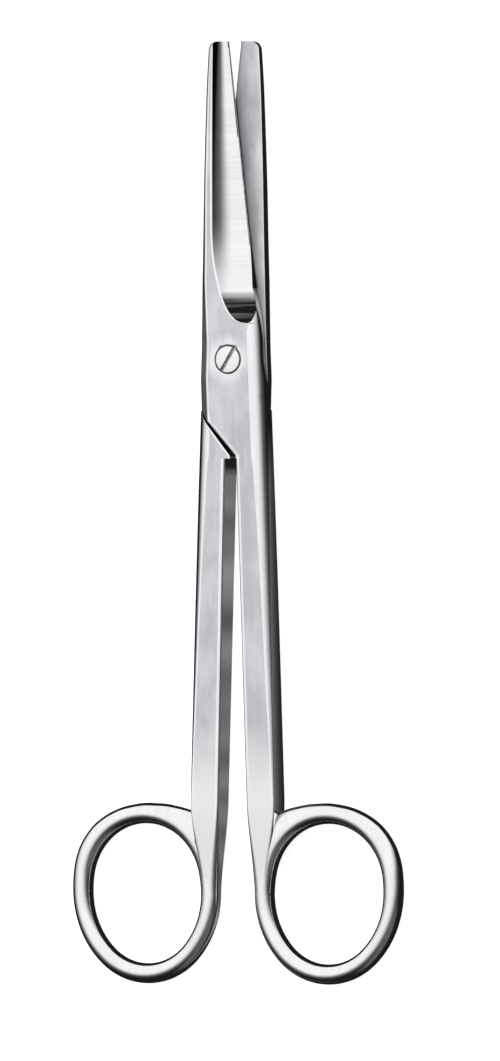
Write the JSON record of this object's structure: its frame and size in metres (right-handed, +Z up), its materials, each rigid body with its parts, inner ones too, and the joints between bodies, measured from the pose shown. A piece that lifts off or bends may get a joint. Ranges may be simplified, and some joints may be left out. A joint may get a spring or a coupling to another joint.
{
  "type": "straight dissecting scissors",
  "caption": "Straight blunt-tipped steel dissecting scissors: forged halves in a lap joint on a slotted pivot screw, bevelled blades, oval finger rings.",
  "frame": {"origin": "on the pivot axis, in the flat underside of the lap joint", "axes": "+Z up along the pivot axis, out of the screw's slotted head; +Y along the centre line to the blade tips; +X to the right, seen from the slotted side with the tips away"},
  "size_m": [0.0668, 0.1703, 0.0053],
  "materials": {
    "front_half_steel": "bright satin, mirror bright on the rounded sides and rings",
    "rear_half_steel": "bright satin, mirror bright on the rounded sides and rings",
    "screw_steel": "bright polished"
  },
  "bodies": {
    "rear": {"rear_half": "rear_half_steel", "pivot_screw": "screw_steel"},
    "front": {"front_half": "front_half_steel"}
  },
  "joints": [
    {"name": "pivot", "type": "hinge", "parent": "rear", "child": "front", "pos_m": [0, 0, 0.0026], "axis": [0, 0, 1], "range_deg": [-3.2, 75]}
  ]
}
